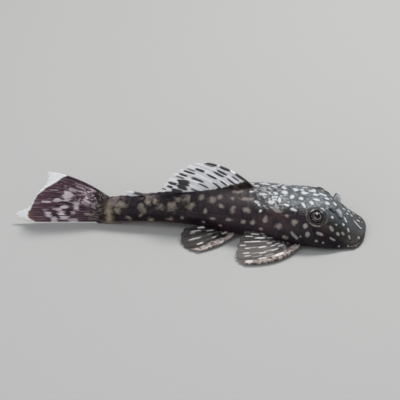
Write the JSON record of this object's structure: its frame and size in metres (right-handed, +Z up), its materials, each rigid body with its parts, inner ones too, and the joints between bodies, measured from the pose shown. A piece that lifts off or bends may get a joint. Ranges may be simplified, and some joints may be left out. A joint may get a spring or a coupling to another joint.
{
  "type": "bristlenose catfish",
  "caption": "Young bristlenose catfish resting on its belly, a still model with spread fins, sucker mouth, rows of bony plates and a gently curved body.",
  "frame": {"origin": "middle of the bounding box's footprint on the floor", "axes": "+X towards the snout, +Y towards the fish's left side, +Z up from the floor"},
  "size_m": [0.0664, 0.03, 0.0134],
  "materials": {
    "skin": "wet skin over bony plates, near black with pale spots",
    "eye": "glossy eye with a bronze iris",
    "lips": "soft pale skin",
    "clear_fin": "thin pale fin skin with dark dashes along the rays",
    "dark_fin": "dark fin skin with pale blotches"
  },
  "bodies": {
    "root": {"head": "skin", "eye_right": "eye", "eye_left": "eye", "mouth_disc": "lips", "torso": "skin", "tail": "skin", "dorsal_fin": "clear_fin", "adipose_fin": "clear_fin", "caudal_fin": "dark_fin", "anal_fin": "dark_fin", "pectoral_fin_right": "dark_fin", "pectoral_fin_left": "dark_fin", "pelvic_fin_right": "dark_fin", "pelvic_fin_left": "dark_fin"}
  },
  "joints": []
}
